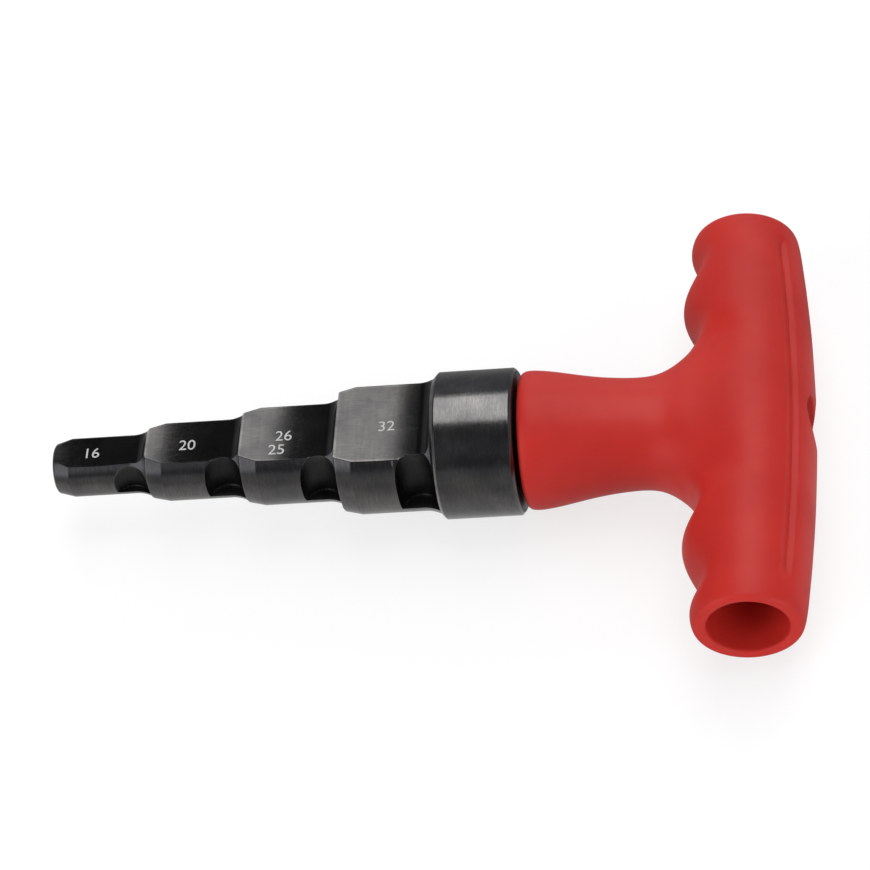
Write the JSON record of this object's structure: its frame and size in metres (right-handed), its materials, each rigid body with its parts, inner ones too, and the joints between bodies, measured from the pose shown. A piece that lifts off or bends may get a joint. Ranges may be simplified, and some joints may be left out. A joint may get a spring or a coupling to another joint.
{
  "type": "pipe calibrating mandrel with T-handle",
  "caption": "Stepped steel mandrel with marked flats and chip pockets on a moulded T-handle, turned by hand to round and deburr the ends of multilayer pipe.",
  "frame": {"origin": "centre of the flat nose face, on the tool's axis", "axes": "+X along the tool's axis from the nose towards the T-handle; +Y along the T-bar; +Z out of the upper marked flats"},
  "size_m": [0.1563, 0.0996, 0.03],
  "materials": {
    "blackened_steel": "black oxide over fine turning and grinding marks, slightly oily, white laser numbers on the flats",
    "red_plastic": "smooth moulded red plastic with a soft sheen",
    "zinc_plated_steel": "bright zinc plating"
  },
  "bodies": {
    "root": {"stepped_mandrel": "blackened_steel", "handle_body": "red_plastic", "retaining_screw": "blackened_steel", "flat_washer": "zinc_plated_steel", "spring_washer": "zinc_plated_steel"}
  },
  "joints": []
}
